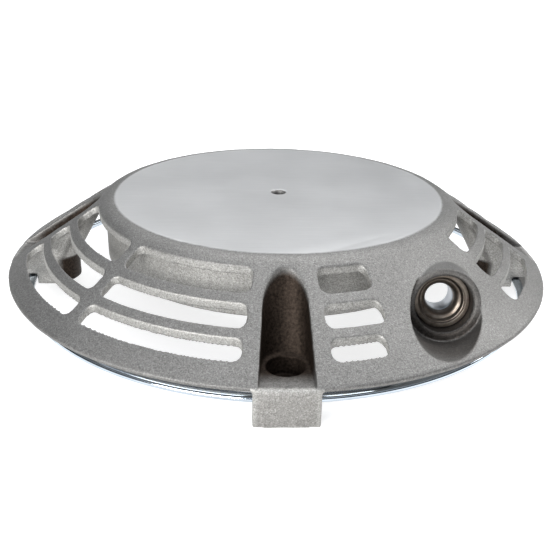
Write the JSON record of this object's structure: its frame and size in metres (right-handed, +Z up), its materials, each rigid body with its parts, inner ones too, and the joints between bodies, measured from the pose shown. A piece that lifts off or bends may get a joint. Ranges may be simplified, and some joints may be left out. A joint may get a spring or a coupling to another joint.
{
  "type": "recoil starter",
  "caption": "Recoil starter for a small engine: slotted cast bell housing on bolt feet with hooked tabs, rope nose with bush, spring, rope pulley, pawls and guide plate.",
  "frame": {"origin": "centre of the circle of feet, level with the lowest edge of the tabs", "axes": "+Z up through the machined face along the crankshaft's line, -Y towards the front foot, +X to the right of it; the rope nose points to -Y on the right"},
  "size_m": [0.2458, 0.2458, 0.0455],
  "materials": {
    "cast_aluminium": "rough die-cast, machined on top",
    "zinc_plate": "bright zinc plated",
    "bush_steel": "turned and hardened",
    "steel": "satin",
    "spring_steel": "oiled blue-grey",
    "nylon": "moulded, matte",
    "bronze": "sintered"
  },
  "bodies": {
    "housing_body": {"housing": "cast_aluminium", "baffle_ring": "zinc_plate", "rope_bush": "bush_steel", "bush_ring": "bush_steel", "recoil_spring": "spring_steel", "spring_anchor_pin": "steel", "spring_cover": "zinc_plate", "cover_screw_1": "zinc_plate", "cover_screw_2": "zinc_plate", "cover_screw_3": "zinc_plate", "brake_washer": "steel", "centre_washer": "steel", "centre_screw": "steel"},
    "pulley_body": {"rope_pulley": "nylon", "pulley_bearing": "bronze", "pawl_pin_1": "steel", "pawl_pin_2": "steel", "pawl_pin_3": "steel", "pawl_spring_1": "spring_steel", "pawl_spring_2": "spring_steel", "pawl_spring_3": "spring_steel"},
    "guide_body": {"guide_plate": "zinc_plate", "brake_spring": "spring_steel"},
    "pawl_body_1": {"pawl_1": "steel"},
    "pawl_body_2": {"pawl_2": "steel"},
    "pawl_body_3": {"pawl_3": "steel"}
  },
  "joints": [
    {"name": "pulley_spin", "type": "hinge", "parent": "housing_body", "child": "pulley_body", "pos_m": [0, 0, 0.0246], "axis": [0, 0, -1], "range_deg": [0, 1080], "stiffness_Nm_per_rad": 0.02, "springref_deg": -360, "deforming": ["recoil_spring"]},
    {"name": "guide_plate_turn", "type": "hinge", "parent": "pulley_body", "child": "guide_body", "pos_m": [0, 0, 0.0125], "axis": [0, 0, 1], "range_deg": [0, 30], "stiffness_Nm_per_rad": 0.01},
    {"name": "pawl_1_swing", "type": "hinge", "parent": "pulley_body", "child": "pawl_body_1", "pos_m": [0.028, 0, 0.0158], "axis": [0, 0, 1], "range_deg": [0, 30]},
    {"name": "pawl_2_swing", "type": "hinge", "parent": "pulley_body", "child": "pawl_body_2", "pos_m": [-0.014, 0.02425, 0.0158], "axis": [0, 0, 1], "range_deg": [0, 30]},
    {"name": "pawl_3_swing", "type": "hinge", "parent": "pulley_body", "child": "pawl_body_3", "pos_m": [-0.014, -0.02425, 0.0158], "axis": [0, 0, 1], "range_deg": [0, 30]}
  ],
  "couplings": [
    {"joint": "pawl_1_swing", "follows": "guide_plate_turn", "ratio": 1},
    {"joint": "pawl_2_swing", "follows": "guide_plate_turn", "ratio": 1},
    {"joint": "pawl_3_swing", "follows": "guide_plate_turn", "ratio": 1}
  ]
}
